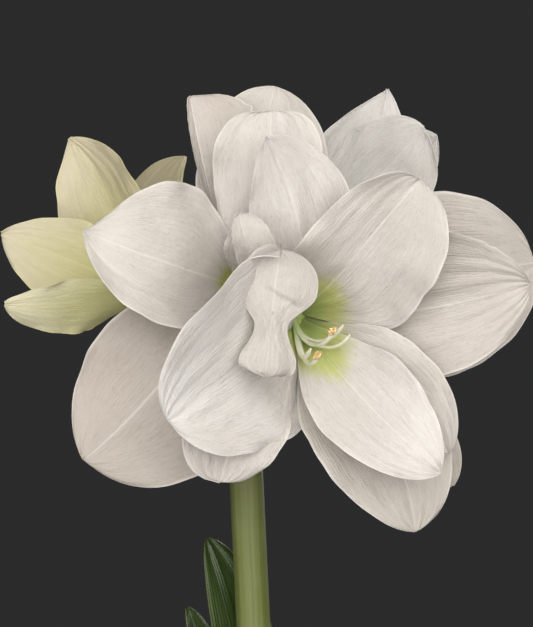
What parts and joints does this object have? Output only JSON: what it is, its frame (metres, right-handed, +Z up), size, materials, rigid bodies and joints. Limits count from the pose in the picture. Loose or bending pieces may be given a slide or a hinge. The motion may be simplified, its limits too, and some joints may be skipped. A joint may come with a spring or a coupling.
{
  "type": "potted amaryllis",
  "caption": "Potted double amaryllis: a tall scape with an umbel of large white many-petalled blooms beside a greenish opening bloom, strap leaves and a bulb set in soil in a plain clay pot.",
  "frame": {"origin": "middle of the pot's underside, on the surface that the pot stands on", "axes": "+Z up along the pot's axis, +X to the right and -Y towards a viewer who faces the two largest blooms"},
  "size_m": [0.3175, 0.3012, 0.6373],
  "materials": {
    "clay": "matt unglazed terracotta",
    "soil": "loose crumbly potting soil",
    "bulb_skin": "dry papery bulb skin",
    "scape": "smooth, slightly waxy",
    "leaf": "smooth satin leaf",
    "ovary": "smooth satin",
    "white_tepal": "fine veined, faintly sparkling",
    "lime_tepal": "fine veined, satin",
    "stamen": "satin"
  },
  "bodies": {
    "root": {"pot": "clay", "soil": "soil", "bulb": "bulb_skin", "scape": "scape", "leaf_tall": "leaf", "leaf_short": "leaf", "leaf_right": "leaf", "leaf_front": "leaf", "pedicel_right": "ovary", "bloom_right": "white_tepal", "pedicel_left": "ovary", "bloom_left": "white_tepal", "pedicel_opening": "ovary", "bloom_opening": "lime_tepal", "pedicel_back": "ovary", "bloom_back": "white_tepal", "stamens": "stamen"}
  },
  "joints": []
}
